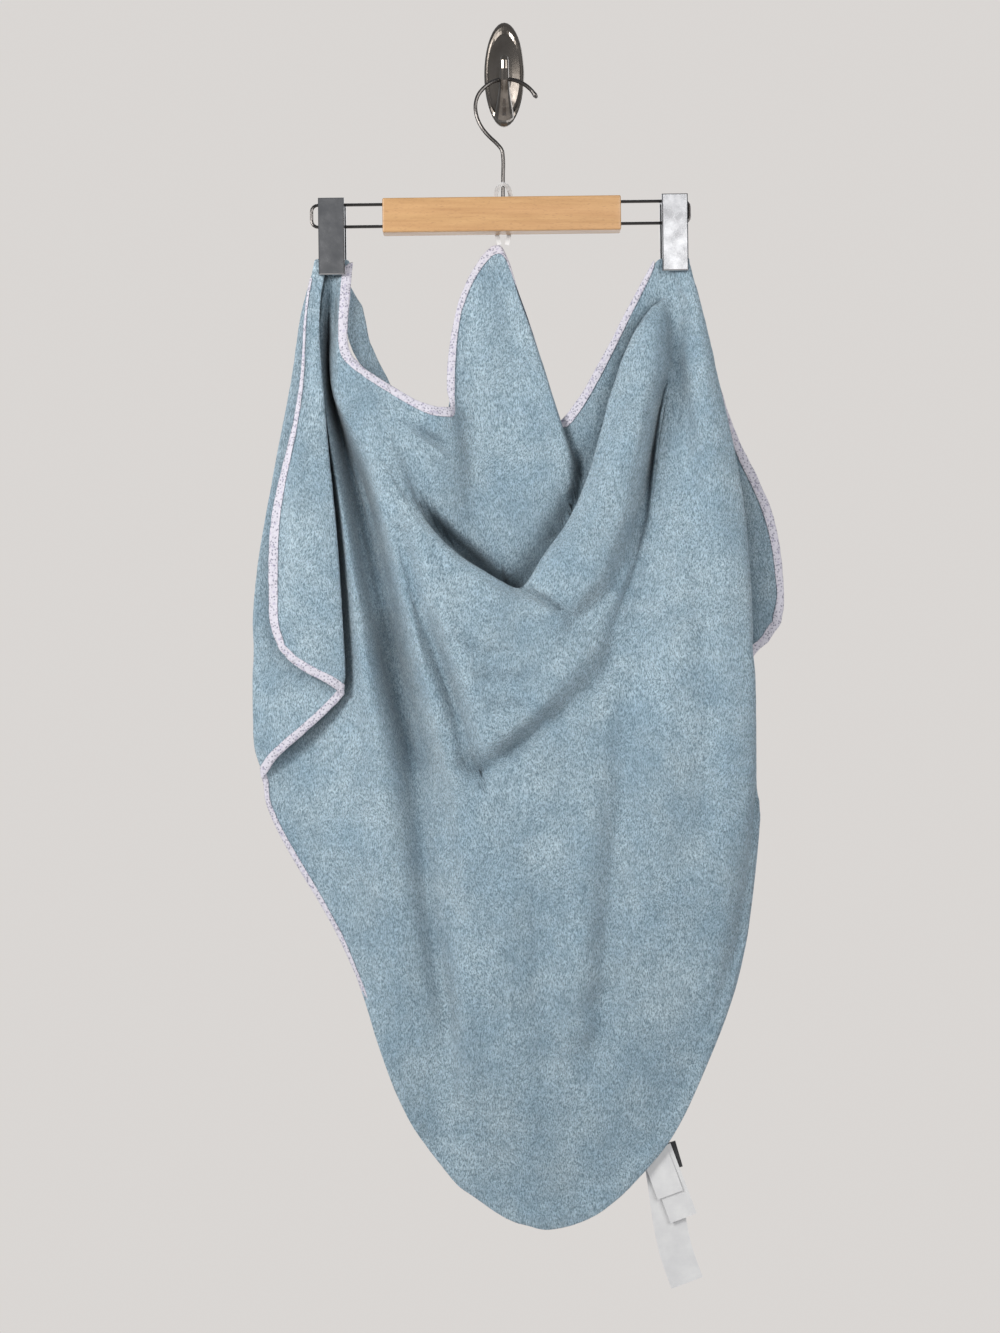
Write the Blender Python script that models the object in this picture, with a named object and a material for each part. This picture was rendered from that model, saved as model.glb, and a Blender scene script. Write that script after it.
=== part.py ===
"""A hooded baby towel, hung by its hood corner from a clip hanger on a wall hook.

Sizes and places are in millimetres. The origin is the middle of the wall plate's flat back. X runs across, Z is
up, and the wall is the plane Y = 0 with the towel in front of it. A place on the cloth is written as
(across, drop, out): how far right of the origin, how far below it, and how far out from the wall.
"""
import math

import bpy
import numpy as np

MM = 0.001

# The towel
TERRY_WALL = 1.6
HOOD_WALL = 1.6
PINCHED_SHARE = 0.65       # how thin the terry gets where a clip grips it
PINCH_REACH = 35.0         # how far below the clip it is thinned
SEAM_GAP = 0.3
BINDING_WIDTH = 9.0
STITCH_LINE = 10.0         # how far the binding's stitching row of the cloth is from its edge
BINDING_WALL = 0.6
BINDING_EASE = 0.2         # how much further the binding's sewn edges stand off, and its fold is rounded out
LABEL_WALL = 0.5
TAPE_WIDTH = 4.0
TAPE_WALL = 0.8

# The clip hanger
HANGER_OUT = 38.0          # the plane that the hook's wire, the bar and the clips hang in
HANGER_TILT = math.radians(0.7)
BAR_LENGTH, BAR_HEIGHT, BAR_DEPTH = 221.0, 32.0, 16.0
BAR_MIDDLE, BAR_TOP = -2.4, 127.8
BAR_EDGE = 1.5
WIRE = 3.0
WIRE_DROPS = (132.0, 152.4)
WIRE_ENDS = (-179.2, 172.1)
WIRE_CORNER = 6.0
CLIP_WIDTH, CLIP_HEIGHT, CLIP_SHEET = 24.0, 71.0, 1.4
CLIP_MIDDLES = {"left": -160.0, "right": 157.5}
CLIP_TOP = 128.2
GRIP = 8.2                 # half the clip's opening at its lips
LIP = 4.0                  # how deep a jaw's rim is
SPRING_WIDTH, SPRING_SHEET, SPRING_DROP = 14.0, 1.0, 40.0
HOOK_WIRE = 3.6
HOOK_BALL = 2.4
STEM_ACROSS = -1.2
HOOK_ROUTE = ((30.4, 34.3), (24.5, 26.4), (16.5, 20.4), (8.5, 17.4), (0.7, 16.7), (-9.5, 18.6), (-18.0, 24.0),
              (-24.4, 31.8), (-26.9, 41.7), (-25.3, 52.6), (-20.7, 62.2), (-14.2, 70.0), (-6.8, 77.0), (-2.2, 83.0),
              (STEM_ACROSS, 90.0), (STEM_ACROSS, 108.0), (STEM_ACROSS, 127.2))

# The wall hook
PLATE_HALF_WIDTH, PLATE_HALF_HEIGHT = 19.0, 49.5
PLATE_RINGS = ((1.00, 0.0), (1.00, 2.2), (0.96, 4.2), (0.90, 5.2), (0.84, 4.9), (0.78, 3.9), (0.60, 4.6),
               (0.40, 5.3), (0.18, 5.7))
PLATE_SIDES = 40
# drop, out, half width and half depth along the prong, from the plate round to its tip
PRONG_ROUTE = ((40.5, 5.6, 9.5, 6.5), (40.2, 9.0, 9.2, 6.4), (38.4, 14.0, 8.5, 6.2), (33.8, 21.0, 7.2, 5.6),
               (28.4, 30.0, 5.8, 5.0),
               (24.4, 38.5, 4.9, 4.6), (18.6, 45.6, 4.3, 4.2), (10.6, 49.4, 4.0, 3.9), (4.0, 50.6, 3.9, 3.8),
               (0.8, 50.9, 3.2, 3.1), (-0.6, 51.0, 1.8, 1.8))
PRONG_SIDES = 14

# The towel's fold lines, from its left edge round to its right edge. A side fold starts in a clip and runs to the
# hem. Each point on it is (across, drop, out).
LEFT_FOLDS = {
    "left edge": ((-176, 185, 42), (-182, 225, 49), (-188, 309, 57), (-206, 401, 59), (-226, 479, 59),
                  (-230, 520, 58), (-215, 550, 57)),
    "left face": ((-170, 185, 42), (-176, 225, 50), (-177, 318, 58), (-183, 410, 61), (-187, 484, 61),
                  (-187, 539, 60), (-180, 569, 58)),
    "pleat front": ((-164, 184, 41), (-170, 224, 48), (-166, 317, 54), (-159, 393, 55), (-151, 474, 55),
                    (-143, 539, 55), (-145, 588, 53)),
    "pleat turn": ((-164, 184, 39.5), (-172, 223, 46), (-169, 315, 50), (-162, 391, 50), (-154, 474, 50),
                   (-146, 543, 50), (-148, 590, 47)),
    "pleat inside": ((-168, 184, 38), (-179, 223, 41), (-184, 297, 43), (-189, 390, 43), (-194, 474, 43),
                     (-193, 548, 43), (-188, 627, 43)),
    "pleat back": ((-174, 183, 36), (-186, 222, 37), (-198, 296, 36.5), (-219, 408, 35.5), (-234, 510, 35.5),
                   (-239, 594, 35.5), (-233, 665, 36)),
    "back turn": ((-174, 183, 34.5), (-185, 222, 33), (-197, 296, 31.5), (-218, 408, 30.5), (-233, 510, 30.5),
                  (-238, 594, 30.5), (-232, 669, 31.5)),
    "left lining": ((-170, 183, 33), (-179, 221, 29), (-182, 313, 24), (-189, 407, 22), (-199, 538, 22),
                    (-207, 641, 24), (-205, 730, 30)),
    "left skirt": ((-166, 182, 32), (-176, 222, 33), (-170, 315, 35), (-156, 445, 37), (-146, 557, 37),
                   (-141, 687, 41), (-143, 831, 38)),
    "left ridge": ((-161, 183, 35), (-170, 224, 40), (-166, 317, 45), (-141, 465, 53), (-118, 621, 57),
                   (-100, 778, 55), (-92, 973, 46)),
    "left valley": ((-156, 183, 36), (-164, 222, 33), (-160, 304, 24), (-121, 465, 17), (-91, 618, 20),
                    (-55, 771, 34), (-56, 1023, 45)),
}
RIGHT_FOLDS = {
    "right roll": ((159, 184, 42), (170, 224, 48), (180, 318, 57), (187, 410, 61), (196, 539, 62),
                   (205, 667, 61), (205, 805, 58), (183, 933, 46)),
    "right side": ((165, 184, 42), (178, 224, 46), (196, 317, 50), (214, 410, 52), (224, 539, 53),
                   (233, 668, 52), (237, 742, 46), (221, 832, 33)),
    "right outline": ((169, 183, 41.5), (181, 223, 43), (202, 316, 43.5), (221, 408, 44), (229, 501, 44),
                      (233, 594, 43), (237, 650, 42), (235, 705, 36.5)),
    "outline turn": ((169, 183, 40), (181, 223, 38.5), (202, 316, 38), (221, 408, 38), (229, 501, 38),
                     (233, 594, 37), (237, 650, 35.5), (232, 693, 31.5)),
    "tuck": ((159, 182, 38), (162, 221, 34), (166, 315, 30), (168, 409, 29), (171, 505, 28), (175, 606, 28)),
    "tuck turn": ((159, 182, 36.5), (163, 220, 30), (167, 312, 24.5), (170, 405, 23.5), (173, 496, 22.5),
                  (176, 603, 22.5)),
    "flap": ((165, 182, 35), (171, 220, 26.5), (187, 313, 21), (206, 406, 19.5), (221, 491, 19.5),
             (228, 563, 19.5)),
    "right edge": ((172, 182, 34), (182, 219, 25), (206, 312, 18), (224, 361, 17), (248, 411, 16),
                   (268, 458, 16), (274, 493, 17), (266, 525, 18)),
}
# A cowl line starts on the bound neck edge, goes down behind the rim to the bottom of the fold, up to the rim, and
# down the front to the hem. Its points are at the stations named here.
STATIONS = ("neck", "upper", "fold", "rim", "swag", "swag foot", "waist", "skirt", "hem")
COWL_LINES = {
    "left clip": ((-141, 186, 39), (-158, 250, 42), (-162, 285, 43), (-157, 315, 49), (-139, 352, 54),
                  (-112, 423, 56), (-78, 552, 58), (-37, 756, 57), (-42, 1040, 47)),
    "turn above": ((-146, 262, 53), (-154, 292, 55), (-149, 316, 57), (-139, 342, 58), (-123, 374, 58),
                   (-101, 438, 58), (-69, 564, 59), (-28, 762, 58), (-32, 1047, 47)),
    "left turn": ((-136, 283, 53), (-137, 307, 56), (-130, 332, 58), (-122, 354, 58), (-111, 384, 59),
                  (-91, 450, 59), (-59, 577, 60), (-18, 768, 58), (-22, 1054, 47)),
    "left neck": ((-110, 301, 50), (-105, 329, 53), (-98, 368, 55), (-89, 412, 57), (-77, 442, 60),
                  (-65, 502, 60), (-41, 612, 58), (-4, 773, 58), (-9, 1063, 48)),
    "left end": ((-67, 324, 50), (-57, 366, 47), (-49, 487, 31), (-52, 451, 54), (-50, 479, 62),
                 (-42, 539, 64), (-22, 651, 59), (9, 782, 59), (3, 1070, 48)),
    "curl": ((-48, 323, 41), (-40, 370, 35), (-34, 503, 27), (-38, 462, 53), (-35, 493, 64),
             (-28, 557, 67), (-11, 660, 61), (15, 791, 59), (13, 1074, 48)),
    "peak low": ((-54, 299, 32), (-32, 370, 27), (-18, 519, 24), (-22, 472, 52), (-19, 502, 65),
                 (-13, 575, 68), (1, 662, 62), (21, 800, 60), (21, 1076, 48)),
    "peak high": ((-44, 221, 25), (-13, 341, 24), (2, 534, 22), (-3, 483, 50), (1, 516, 65),
                  (5, 584, 67), (14, 667, 62), (28, 805, 60), (30, 1079, 48)),
    "peak": ((-7, 162, 23), (15, 313, 24), (21, 543, 22), (15, 490, 47), (22, 530, 64),
             (27, 594, 66), (31, 676, 62), (36, 814, 60), (40, 1080, 48)),
    "peak fold": ((8, 200, 19), (32, 300, 24), (60, 521, 21), (34, 458, 48), (47, 513, 66),
                  (62, 562, 58), (58, 667, 59), (56, 814, 60), (53, 1078, 48)),
    "peak back": ((27, 268, 10), (54, 344, 27), (83, 491, 22), (56, 428, 48), (78, 499, 67),
                  (96, 529, 48), (90, 658, 58), (79, 814, 60), (68, 1074, 48)),
    "right turn": ((48, 338, 10), (77, 389, 18), (106, 439, 20), (79, 377, 48), (104, 466, 67),
                   (122, 498, 42), (124, 630, 59), (101, 814, 60), (85, 1066, 48)),
    "right neck": ((87, 285, 28), (99, 313, 25), (126, 365, 25), (100, 296, 48), (124, 383, 64),
                   (137, 431, 38), (154, 585, 59), (132, 814, 60), (105, 1051, 47)),
    "right clip": ((140, 185, 41), (143, 200, 39), (145, 222, 36), (131, 236, 49), (143, 290, 60),
                   (152, 328, 35), (167, 536, 59), (161, 777, 60), (130, 1025, 46)),
    "right valley": ((150, 184, 40), (156, 198, 39), (160, 212, 37), (160, 228, 35), (160, 275, 32),
                     (165, 330, 36), (178, 520, 57), (187, 750, 60), (155, 994, 44)),
}
# Where the bound edge rolls out of its line: the place of the binding's stitching
ROLLED = {"left clip": (-151, 192, 41), "turn above": (-155, 270, 54), "left turn": (-139, 291, 54),
          "peak low": (-46, 302.5, 32.5), "peak fold": (10.2, 208, 23.8), "peak back": (34, 271, 16),
          "right turn": (54, 345, 13)}
# How far along a side fold each station is, and how many rows of faces lie between one station and the next
LEFT_SHARES = (0.0, 0.05, 0.10, 0.16, 0.22, 0.30, 0.43, 0.67, 1.0)
RIGHT_SHARES = (0.0, 0.02, 0.045, 0.07, 0.15, 0.21, 0.44, 0.71, 1.0)
ROWS_BETWEEN = (2, 4, 4, 3, 3, 4, 5, 6)
COLUMNS_BETWEEN = 2

# The hood is a triangle sewn behind the neck edge. Each of its lines has its top, the middle of the cloth and its
# free hem. A top that isn't written is seated behind the neck binding.
HOOD_LINES = {
    "left clip": ((-137, 205, 36), (-131, 216, 34), (-125, 226, 32)),
    "turn above": ((-139, 246, 45), (-131, 241, 40), (-122, 236, 33)),
    "left turn": ((-133, 280, 45), (-122, 281, 37), (-119, 254, 31)),
    "left neck": (None, (-108, 330, 34), (-104, 307, 25)),
    "left end": (None, (-71, 362, 28), (-80, 354, 18)),
    "curl": ((-52, 325, 35), (-55, 362, 22), (-55, 388, 14)),
    "peak low": ((-50, 304, 24), (-42, 343, 17), (-33, 400, 12)),
    "peak high": (None, (-30, 317, 15), (-15, 408, 12)),
    "peak": (None, (-15, 300, 16), (-4, 410, 12)),
    "peak fold": ((0, 190, 17), (-2, 305, 15), (15, 408, 12)),
    "peak back": ((10, 262, 15), (14, 345, 10), (33, 402, 8)),
    "right turn": ((47, 344, 5.5), (56, 368, 5), (66, 384, 5)),
    "right neck": (None, (97, 306, 19), (101, 312, 15)),
    "right clip": ((136, 204, 33), (139, 212, 31), (142, 219, 30)),
}
HOOD_ROWS = 6
HOOD_SAG = 3.0             # how far behind its line the top droops next to a free place

# The sewn-in labels, front to back: a middle line down each of (across, drop, out), and its width
LABELS = {
    "label_short": (((137.5, 1009, 42.1), (145.5, 1030, 42.0), (154, 1053, 42.6)), 25.0),
    "label_mid": (((142, 1010, 41.2), (154, 1042, 40.9), (166.5, 1075, 41.2)), 26.0),
    "label_tab": (((153, 1005, 40.3), (156.5, 1017, 40.0), (160, 1029, 39.8)), 12.0),
    "label_long": (((143, 1008, 39.3), (149, 1045, 38.2), (154, 1080, 37.2), (160, 1108, 37.2), (170, 1136, 38.5)), 31.0),
}
LABEL_LEAN = math.radians(22)
LOOP_ROUTE = ((-4.5, 168, 26.4), (-8.5, 150, 28.0), (-9.2, 136, 28.2), (-8.8, 127, 29.6), (-7.6, 121, 34.0),
              (-5.8, 117.5, 38.5), (-1.2, 115.5, 42.6), (3.4, 117.5, 38.5), (5.2, 121, 34.0), (6.4, 127, 29.6),
              (6.8, 136, 28.2), (6.1, 150, 28.0), (2.5, 168, 26.4))


def clear_scene():
    for thing in list(bpy.data.objects):
        bpy.data.objects.remove(thing, do_unlink=True)


def material(name, colour, roughness, metallic=0.0):
    finish = bpy.data.materials.new(name)
    finish.use_nodes = True
    shader = finish.node_tree.nodes["Principled BSDF"]
    shader.inputs["Base Color"].default_value = (*colour, 1.0)
    shader.inputs["Roughness"].default_value = roughness
    shader.inputs["Metallic"].default_value = metallic
    finish.diffuse_color = (*colour, 1.0)
    return finish


def add_solid(name, points, faces, finish, round_shaded=True):
    """Make one object from points of (across, drop, out) and its faces."""
    mesh = bpy.data.meshes.new(name)
    mesh.from_pydata([(a * MM, -o * MM, -d * MM) for a, d, o in points], [], faces)
    mesh.materials.append(finish)
    mesh.validate()
    if round_shaded:
        mesh.shade_smooth()
        mesh.set_sharp_from_angle(angle=math.radians(35))
    solid = bpy.data.objects.new(name, mesh)
    bpy.context.collection.objects.link(solid)
    return solid


# ---------------------------------------------------------------- curves through chosen points


def spans(knots, at, dims):
    steps = np.diff(knots)
    index = np.clip(np.searchsorted(knots, at, side="right") - 1, 0, len(steps) - 1)
    shape = (-1,) + (1,) * (dims - 1)
    return steps.reshape(shape), index, ((at - knots[index]) / steps[index]).reshape(shape)


def cubic(knots, points, slopes, at):
    steps, index, part = spans(knots, at, points.ndim)
    reach = steps[index]
    start = (1 + 2 * part) * (1 - part) ** 2 * points[index] + part * (1 - part) ** 2 * reach * slopes[index]
    end = part**2 * (3 - 2 * part) * points[index + 1] - part**2 * (1 - part) * reach * slopes[index + 1]
    return start + end


def smooth_curve(knots, points, at):
    """A curve that rounds off at each point."""
    knots, points, at = (np.asarray(v, float) for v in (knots, points, at))
    steps = spans(knots, at, points.ndim)[0]
    chords = np.diff(points, axis=0) / steps
    slopes = np.concatenate([chords[:1], chords[:-1], chords[-1:]])[: len(points)]
    slopes[1:-1] = (chords[:-1] * steps[1:] + chords[1:] * steps[:-1]) / (steps[1:] + steps[:-1])
    slopes[-1] = chords[-1]
    return cubic(knots, points, slopes, at)


def steady_curve(knots, points, at):
    """A curve that never swings past its points, so that a fold's tip stays where it is put."""
    knots, points, at = (np.asarray(v, float) for v in (knots, points, at))
    steps = spans(knots, at, points.ndim)[0]
    chords = np.diff(points, axis=0) / steps
    before, after = chords[:-1], chords[1:]
    same_way = before * after > 0
    weight_a, weight_b = 2 * steps[1:] + steps[:-1], steps[1:] + 2 * steps[:-1]
    safe_a, safe_b = np.where(same_way, before, 1.0), np.where(same_way, after, 1.0)
    inner = np.where(same_way, (weight_a + weight_b) / (weight_a / safe_a + weight_b / safe_b), 0.0)
    return cubic(knots, points, np.concatenate([chords[:1], inner, chords[-1:]]), at)


def distances(points):
    return np.concatenate([[0.0], np.cumsum(np.linalg.norm(np.diff(points, axis=0), axis=1))])


# ---------------------------------------------------------------- cloth


def fold_names():
    return [*LEFT_FOLDS, *COWL_LINES, *RIGHT_FOLDS]


def along_stations(points, shares):
    """A side fold's points at the stations' shares of its length."""
    points = np.asarray(points, float)
    run = distances(points)
    return smooth_curve(run, points, np.asarray(shares) * run[-1])


def panel_grid():
    """The towel's middle surface, as columns down the cloth of points (across, drop, out)."""
    left = [along_stations(p, LEFT_SHARES) for p in LEFT_FOLDS.values()]
    right = [along_stations(p, RIGHT_SHARES) for p in RIGHT_FOLDS.values()]
    lines = np.array(left + [np.asarray(p, float) for p in COWL_LINES.values()] + right)
    necks = lines[:, 0].copy()
    first = lines[:, 1] - necks
    lines[:, 0] += unit(first) * np.minimum(STITCH_LINE, 0.4 * np.linalg.norm(first, axis=1, keepdims=True))
    for name, place in ROLLED.items():
        lines[fold_names().index(name), 0] = place
    rows = np.concatenate([i + np.arange(n) / n for i, n in enumerate(ROWS_BETWEEN)] + [[len(ROWS_BETWEEN)]])
    down = smooth_curve(np.arange(len(STATIONS)), lines.transpose(1, 0, 2), rows)
    columns = np.linspace(0, len(lines) - 1, (len(lines) - 1) * COLUMNS_BETWEEN + 1)
    grid = steady_curve(np.arange(len(lines)), down.transpose(1, 0, 2), columns)
    edge = steady_curve(np.arange(len(lines)), necks, columns)[:, None]
    return add_hem_lines(np.concatenate([edge, grid], axis=1))


def add_hem_lines(grid):
    """Add a line of points inside the hem and both sides, where the binding's stitching runs."""
    for side in ("hem", "right", "neck", "left"):
        grid = grid[:, ::-1].transpose(1, 0, 2)
        if side != "neck":
            span = np.linalg.norm(grid[1] - grid[0], axis=1, keepdims=True)
            reach = np.minimum(STITCH_LINE, 0.6 * span)
            line = grid[0] + (grid[1] - grid[0]) / np.maximum(span, 1e-6) * reach
            grid = np.concatenate([grid[:1], line[None], grid[1:]])
    return grid


def fronts(grid):
    """The direction out of the cloth's front at each point."""
    faces = np.cross(grid[1:, 1:] - grid[:-1, :-1], grid[:-1, 1:] - grid[1:, :-1])
    faces /= np.linalg.norm(faces, axis=2, keepdims=True)
    faces = np.pad(faces, ((1, 1), (1, 1), (0, 0)), mode="edge")
    around = faces[:-1, :-1] + faces[1:, :-1] + faces[:-1, 1:] + faces[1:, 1:]
    return around / np.linalg.norm(around, axis=2, keepdims=True)


def pinch(grid):
    """A share of the full wall: thin in a clip, full away from it."""
    share = np.ones(grid.shape[:2])
    for middle in CLIP_MIDDLES.values():
        away = np.hypot(grid[..., 0] - middle, grid[..., 1] - (CLIP_TOP + CLIP_HEIGHT))
        share -= (1 - PINCHED_SHARE) * np.exp(-((away / PINCH_REACH) ** 2))
    return share[..., None]


def walls(grid, wall):
    """The cloth's front and back faces."""
    normals = fronts(grid)
    half = 0.5 * wall * pinch(grid)
    return grid + normals * half, grid - normals * half


def sheet_solid(name, front, back, finish):
    """Close a front and a back face round their edge into one solid."""
    columns, rows = front.shape[:2]
    count = columns * rows
    at = np.arange(count).reshape(columns, rows)
    faces = []
    for i in range(columns - 1):
        for j in range(rows - 1):
            a, b, c, d = at[i, j], at[i, j + 1], at[i + 1, j + 1], at[i + 1, j]
            faces += [(a, b, c), (a, c, d)]
            faces += [(c + count, b + count, a + count), (d + count, c + count, a + count)]
    rim = [*at[0, :], *at[1:, -1], *at[-1, -2::-1], *at[-2:0:-1, 0]]
    for a, b in zip(rim, rim[1:] + rim[:1]):
        faces += [(b, a, a + count), (b, a + count, b + count)]
    points = np.concatenate([front.reshape(-1, 3), back.reshape(-1, 3)])
    faces = [tuple(int(v) for v in face) for face in faces]
    return add_solid(name, points.tolist(), faces, finish)


def binding_solid(name, front, back, path, finish):
    """Fold a strip round the cloth's edge. The path has pairs of grid places: one on the edge, one inside it."""
    rings = []
    line = np.array([(front[edge] + back[edge]) / 2 for edge, _ in path])
    steps = unit(np.diff(line, axis=0))
    steps = np.concatenate([steps[:1], steps, steps[-1:]])
    for (edge, inner), before, after in zip(path, steps, steps[1:]):
        face, face_in = unit(front[edge] - back[edge]), unit(front[inner] - back[inner])
        out = unit((front[edge] + back[edge]) - (front[inner] + back[inner]))
        if np.dot(before, after) > 0.5:
            ahead = unit(before + after)
            out = unit(out - ahead * np.dot(out, ahead))
        share = BINDING_WIDTH / STITCH_LINE
        face_in = unit(face + (face_in - face) * share)
        front_in = front[edge] + (front[inner] - front[edge]) * share
        back_in = back[edge] + (back[inner] - back[edge]) * share
        near, far = SEAM_GAP, SEAM_GAP + BINDING_WALL
        rings.append((
            front_in + face_in * (far + BINDING_EASE),
            front[edge] + face * far + out * (far + BINDING_EASE),
            back[edge] - face * far + out * (far + BINDING_EASE),
            back_in - face_in * (far + BINDING_EASE),
            back_in - face_in * (near + BINDING_EASE),
            back[edge] - face * near + out * near,
            front[edge] + face * near + out * near,
            front_in + face_in * (near + BINDING_EASE),
        ))
    points = np.array(rings).reshape(-1, 3)
    sides = 8
    faces = []
    for ring in range(len(path) - 1):
        # Each leg is split the same way as the cloth under it, so that the gap between them holds.
        (col, row), (next_col, next_row) = path[ring][1], path[ring + 1][0]
        from_inner = (next_col - col) * (next_row - row) > 0
        for side in range(sides):
            a, b = ring * sides + side, ring * sides + (side + 1) % sides
            if side == 5 or side in (0, 4) and from_inner or side in (2, 6) and not from_inner:
                faces += [(a, b, b + sides), (a, b + sides, a + sides)]
            else:
                faces += [(a, b, a + sides), (b, b + sides, a + sides)]
    last = (len(path) - 1) * sides
    for a, b, c, d in ((0, 1, 6, 7), (1, 2, 5, 6), (2, 3, 4, 5)):
        faces.append((d, c, b, a))
        faces.append((last + a, last + b, last + c, last + d))
    return add_solid(name, points.tolist(), faces, finish)


def unit(vector):
    return vector / np.linalg.norm(vector, axis=-1, keepdims=True)


def neck_path(grid):
    """The neck edge from inside one clip to inside the other."""
    start, end = column_of("left clip"), column_of("right clip")
    return [((i, 0), (i, 1)) for i in range(end, start - 1, -1)]


def hem_path(grid):
    """The outer edge from the left clip, round the two side corners and the toe, to the right clip."""
    columns, rows = grid.shape[:2]
    below = CLIP_TOP + CLIP_HEIGHT + 4.0
    left = [((0, j), (1, min(j, rows - 2))) for j in range(rows) if grid[0, j, 1] > below]
    hem = [((i, rows - 1), (min(max(i, 1), columns - 2), rows - 2)) for i in range(1, columns - 1)]
    right = [((columns - 1, j), (columns - 2, min(j, rows - 2)))
             for j in reversed(range(rows)) if grid[-1, j, 1] > below]
    return left + hem + right


def column_of(fold):
    """A fold line's column in the panel's grid, past the binding's line."""
    return fold_names().index(fold) * COLUMNS_BETWEEN + 1


def hood_faces(front, back):
    """The hood's two faces. It starts behind the neck binding, along the panel's edge and stitching lines."""
    start = column_of("left clip")
    columns = np.arange(start, column_of("right clip") + 1)
    face = unit(front[columns, :2] - back[columns, :2])
    sewn = back[columns, :2] - face * (2 * SEAM_GAP + BINDING_WALL + BINDING_EASE + HOOD_WALL / 2)
    free = {k * COLUMNS_BETWEEN: line for k, line in enumerate(HOOD_LINES.values()) if line[0]}
    for k, (top, middle, _) in free.items():
        sewn[k] = top, np.add(top, BINDING_WIDTH / 2 * unit(np.subtract(middle, top)))
    for k in range(1, len(sewn) - 1, COLUMNS_BETWEEN):
        if {k - 1, k + 1} & set(free):
            sewn[k] = (sewn[k - 1] + sewn[k + 1]) / 2 - (0, 0, HOOD_SAG)
    fine = (columns - start) / COLUMNS_BETWEEN
    knots = np.arange(len(HOOD_LINES))
    middle, hem = (steady_curve(knots, [line[k] for line in HOOD_LINES.values()], fine) for k in (1, 2))
    rows = np.linspace(0, 2, HOOD_ROWS + 1)
    hung = smooth_curve([0, 1, 2], np.array([sewn[:, 1], middle, hem]), rows).transpose(1, 0, 2)
    grid = np.concatenate([sewn[:, :1], hung], axis=1)
    normals = fronts(grid)
    seated = [k for k in range(len(sewn)) if not {k - 1, k, k + 1} & set(free)]
    normals[seated, :2] = face[seated]
    return grid + normals * HOOD_WALL / 2, grid - normals * HOOD_WALL / 2


def make_towel(terry, print_cotton):
    grid = panel_grid()
    front, back = walls(grid, TERRY_WALL)
    sheet_solid("towel_panel", front, back, terry)
    sheet_solid("hood", *hood_faces(front, back), terry)
    binding_solid("binding_neck", front, back, neck_path(grid), print_cotton)
    binding_solid("binding_hem", front, back, hem_path(grid), print_cotton)


# ---------------------------------------------------------------- strips, tubes and plates


def swept_solid(name, route, section, finish, lean=None):
    """Sweep a flat section along a route. Each point of the section is (sideways, frontways) at that place."""
    route = np.asarray(route, float)
    ahead = np.gradient(route, axis=0)
    ahead /= np.linalg.norm(ahead, axis=1, keepdims=True)
    side = np.array([1.0, 0.0, 0.0]) if lean is None else np.asarray(lean, float)
    points, sides = [], len(section(0))
    for k, (place, forward) in enumerate(zip(route, ahead)):
        side = unit(side - forward * np.dot(side, forward))
        facing = np.cross(side, forward)
        points += [place + side * s + facing * f for s, f in section(k)]
    faces = []
    for k in range(len(route) - 1):
        for s in range(sides):
            a, b = k * sides + s, k * sides + (s + 1) % sides
            faces.append((a, b, b + sides, a + sides))
    last = (len(route) - 1) * sides
    faces.append(tuple(reversed(range(sides))))
    faces.append(tuple(last + s for s in range(sides)))
    return add_solid(name, points, faces, finish)


def ring_section(half_width, half_depth, sides):
    turns = [2 * math.pi * s / sides for s in range(sides)]
    return [(half_width * math.cos(t), half_depth * math.sin(t)) for t in turns]


def strip_section(width, wall):
    return [(-width / 2, -wall / 2), (width / 2, -wall / 2), (width / 2, wall / 2), (-width / 2, wall / 2)]


def rounded_route(points, count):
    points = np.asarray(points, float)
    run = distances(points)
    return smooth_curve(run, points, np.linspace(0, run[-1], count))


def make_labels(white_tape, black_tape):
    for name, (line, width) in LABELS.items():
        finish = black_tape if name == "label_tab" else white_tape
        section = strip_section(width, LABEL_WALL)
        lean = (math.cos(LABEL_LEAN), -math.sin(LABEL_LEAN), 0.0)
        swept_solid(name, rounded_route(line, 9), lambda k: section, finish, lean)


def make_loop(white_tape):
    section = strip_section(TAPE_WALL, TAPE_WIDTH)
    swept_solid("hanging_loop", rounded_route(LOOP_ROUTE, 33), lambda k: section, white_tape, (0.0, 0.0, 1.0))


def box_solid(name, low, high, finish, edge):
    """A block between two corners, with its edges rounded."""
    corners = [(a, d, o) for a in (low[0], high[0]) for d in (low[1], high[1]) for o in (low[2], high[2])]
    faces = [(0, 2, 3, 1), (4, 5, 7, 6), (0, 1, 5, 4), (2, 6, 7, 3), (0, 4, 6, 2), (1, 3, 7, 5)]
    block = add_solid(name, corners, faces, finish)
    rounding = block.modifiers.new("rounded edges", "BEVEL")
    rounding.width = edge * MM
    rounding.segments = 3
    return block


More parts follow.
